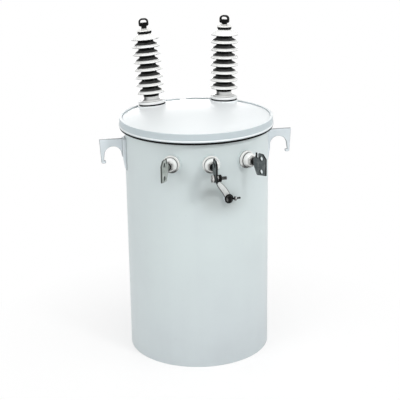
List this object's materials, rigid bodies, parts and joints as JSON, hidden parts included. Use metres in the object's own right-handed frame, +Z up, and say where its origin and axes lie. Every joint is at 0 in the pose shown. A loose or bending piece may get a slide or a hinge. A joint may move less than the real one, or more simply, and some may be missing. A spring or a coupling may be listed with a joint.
{
  "type": "pole mounted transformer",
  "caption": "Round steel tank with a clamped domed cover, ribbed porcelain high-voltage bushings, front spade terminals, lifting hooks and rear pole hangers.",
  "frame": {"origin": "on the tank axis, at the flat underside of the tank", "axes": "+Z up along the tank axis; -Y to the front, where the low-voltage spades are; +X to the right-hand lifting hook as seen from the front"},
  "size_m": [0.68, 0.663, 1.1595],
  "materials": {
    "tank_paint": "semi-gloss light grey enamel",
    "cover_paint": "semi-gloss light grey enamel",
    "bracket_paint": "semi-gloss light grey enamel",
    "hv_porcelain": "glazed light grey porcelain",
    "lv_porcelain": "glazed off-white porcelain",
    "seal_rubber": "matt black rubber",
    "cap_metal": "tinned metal",
    "terminal_metal": "weathered bronze terminal, dark",
    "spade_metal": "dull tinned copper",
    "strap_metal": "pale tinned strap",
    "bolt_steel": "dull galvanised steel"
  },
  "bodies": {
    "root": {"tank_wall": "tank_paint", "tank_bottom": "tank_paint", "cover": "cover_paint", "cover_band": "cover_paint", "left_hv_flange": "cover_paint", "right_hv_flange": "cover_paint", "left_lifting_lug": "bracket_paint", "left_lug_pad": "bracket_paint", "right_lifting_lug": "bracket_paint", "right_lug_pad": "bracket_paint", "upper_hanger": "bracket_paint", "lower_hanger": "bracket_paint", "ground_boss": "bracket_paint", "left_hv_porcelain": "hv_porcelain", "right_hv_porcelain": "hv_porcelain", "left_lv_porcelain": "lv_porcelain", "neutral_lv_porcelain": "lv_porcelain", "right_lv_porcelain": "lv_porcelain", "cover_seal": "seal_rubber", "left_hv_gasket": "seal_rubber", "right_hv_gasket": "seal_rubber", "left_hv_cap_gasket": "seal_rubber", "right_hv_cap_gasket": "seal_rubber", "left_lv_gasket": "seal_rubber", "neutral_lv_gasket": "seal_rubber", "right_lv_gasket": "seal_rubber", "left_hv_cap": "cap_metal", "right_hv_cap": "cap_metal", "left_hv_nut": "terminal_metal", "left_hv_eyebolt": "terminal_metal", "left_hv_pressure_pad": "terminal_metal", "right_hv_nut": "terminal_metal", "right_hv_eyebolt": "terminal_metal", "right_hv_pressure_pad": "terminal_metal", "left_lv_nut": "spade_metal", "left_lv_spade": "spade_metal", "neutral_lv_nut": "spade_metal", "neutral_lv_spade": "spade_metal", "right_lv_nut": "spade_metal", "right_lv_spade": "spade_metal", "ground_strap": "strap_metal", "band_bolt": "bolt_steel", "neutral_bolt": "bolt_steel", "ground_bolt": "bolt_steel"}
  },
  "joints": []
}
